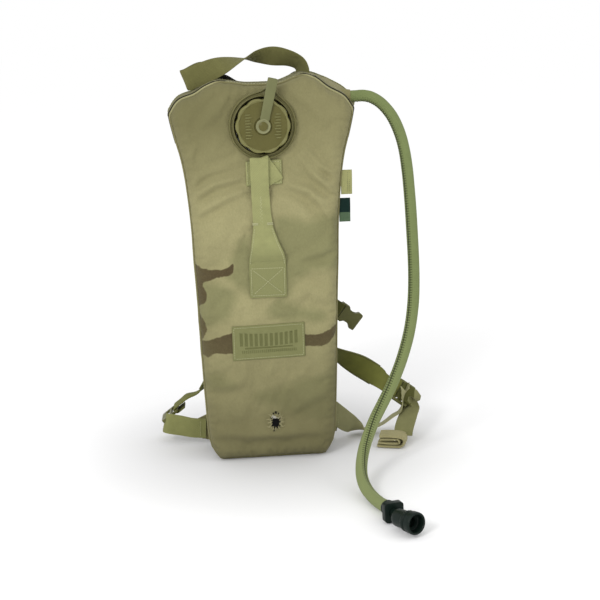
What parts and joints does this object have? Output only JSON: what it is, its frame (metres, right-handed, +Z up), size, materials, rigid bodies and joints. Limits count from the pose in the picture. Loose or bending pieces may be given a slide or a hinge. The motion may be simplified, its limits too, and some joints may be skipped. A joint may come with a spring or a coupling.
{
  "type": "hydration pack",
  "caption": "Slim insulated hydration pack with a screw-capped fill port, drinking hose with shut-off valve, carry handle and open harness.",
  "frame": {"origin": "on the flat base, under the pack's centre line", "axes": "+Z up the pack, -Y out of its front panel, +X to the right seen from the front"},
  "size_m": [0.3426, 0.3912, 0.5066],
  "materials": {
    "tan_cloth": "woven nylon, printed",
    "webbing": "woven nylon webbing",
    "strap_cloth": "padded nylon, dark olive",
    "mesh_black": "padded air mesh",
    "foam": "closed-cell foam sheet",
    "film": "clear polyurethane film",
    "cap_plastic": "moulded, satin",
    "collar_plastic": "moulded, satin",
    "rubber": "moulded, matte",
    "gasket": "moulded, matte",
    "hose_cover": "knitted sleeve over a tube",
    "hose_tube": "clear tube",
    "valve_plastic": "moulded, satin",
    "buckle_plastic": "moulded, satin",
    "label_tan": "woven label",
    "label_dark": "woven label"
  },
  "bodies": {
    "pack": {"front_panel": "tan_cloth", "gusset": "tan_cloth", "front_welt": "tan_cloth", "back_welt": "tan_cloth", "back_panel": "mesh_black", "front_insulation": "foam", "back_insulation": "foam", "reservoir": "film", "fill_neck": "collar_plastic", "cap_gasket": "gasket", "collar_ring": "collar_plastic", "patch": "webbing", "port_strap_anchor": "webbing", "port_strap": "webbing", "side_label_tan": "label_tan", "side_label_dark": "label_dark", "shoulder_strap_R": "strap_cloth", "shoulder_strap_L": "strap_cloth", "lower_webbing_R": "webbing", "lower_webbing_L": "webbing", "corner_tab_R": "tan_cloth", "corner_tab_L": "tan_cloth", "hose_grommet": "tan_cloth", "drinking_hose": "hose_cover", "inner_hose": "hose_tube", "outlet_elbow": "collar_plastic", "valve_socket": "valve_plastic"},
    "tether": {"cap_tether": "rubber"},
    "cap": {"cap": "cap_plastic", "tether_button": "cap_plastic"},
    "shutoff": {"shutoff_collar": "valve_plastic"},
    "outlet": {"valve_elbow": "valve_plastic"},
    "handle": {"carry_handle": "webbing"},
    "slider_R": {"sternum_slider_R": "buckle_plastic"},
    "slider_L": {"sternum_slider_L": "buckle_plastic"},
    "sternum_R": {"sternum_webbing_R": "webbing", "female_buckle": "buckle_plastic"},
    "sternum_L": {"sternum_webbing_L": "webbing", "male_buckle": "buckle_plastic"},
    "lock_R": {"ladder_lock_R": "buckle_plastic", "webbing_tail_R": "webbing", "webbing_bundle_R": "webbing"},
    "lock_L": {"ladder_lock_L": "buckle_plastic", "webbing_tail_L": "webbing"}
  },
  "joints": [
    {"name": "cap_turn", "type": "hinge", "parent": "tether", "child": "cap", "pos_m": [0, -0.045, 0.4165], "axis": [0, -1, 0], "range_deg": [0, 540]},
    {"name": "cap_lift", "type": "slide", "parent": "pack", "child": "tether", "axis": [0, -1, 0], "range_m": [0, 0.0076]},
    {"name": "shutoff_turn", "type": "hinge", "parent": "pack", "child": "shutoff", "pos_m": [0.11137, -0.24329, 0.01102], "axis": [0.2264, -0.9722, 0.059], "range_deg": [0, 90]},
    {"name": "outlet_swivel", "type": "hinge", "parent": "pack", "child": "outlet", "pos_m": [0.1205, -0.2825, 0.0134], "axis": [0.2264, -0.9722, 0.059], "range_deg": [-90, 90]},
    {"name": "handle_swing", "type": "hinge", "parent": "pack", "child": "handle", "pos_m": [-0.07, 0.008, 0.476], "axis": [0.9987, 0.0403, 0.0322], "range_deg": [-20, 30]},
    {"name": "sternum_slide_R", "type": "slide", "parent": "pack", "child": "slider_R", "axis": [0, 0, 1], "range_m": [-0.012, 0.03]},
    {"name": "sternum_swing_R", "type": "hinge", "parent": "slider_R", "child": "sternum_R", "pos_m": [0.062, 0.0765, 0.176], "axis": [0, 1, 0], "range_deg": [-45, 28]},
    {"name": "sternum_slide_L", "type": "slide", "parent": "pack", "child": "slider_L", "axis": [0, 0, 1], "range_m": [-0.008, 0.03]},
    {"name": "sternum_swing_L", "type": "hinge", "parent": "slider_L", "child": "sternum_L", "pos_m": [-0.062, 0.079, 0.17], "axis": [0, 1, 0], "range_deg": [-60, 80]},
    {"name": "lock_tilt_R", "type": "hinge", "parent": "pack", "child": "lock_R", "pos_m": [0.169, 0.033, 0.06], "axis": [-0.5328, -0.6743, -0.5112], "range_deg": [0, 20]},
    {"name": "lock_tilt_L", "type": "hinge", "parent": "pack", "child": "lock_L", "pos_m": [-0.1195, 0.05, 0.044], "axis": [-0.0241, -0.9992, 0.0321], "range_deg": [-20, 0]}
  ],
  "couplings": [
    {"joint": "cap_lift", "follows": "cap_turn", "m_per_rad": 0.00079577}
  ]
}
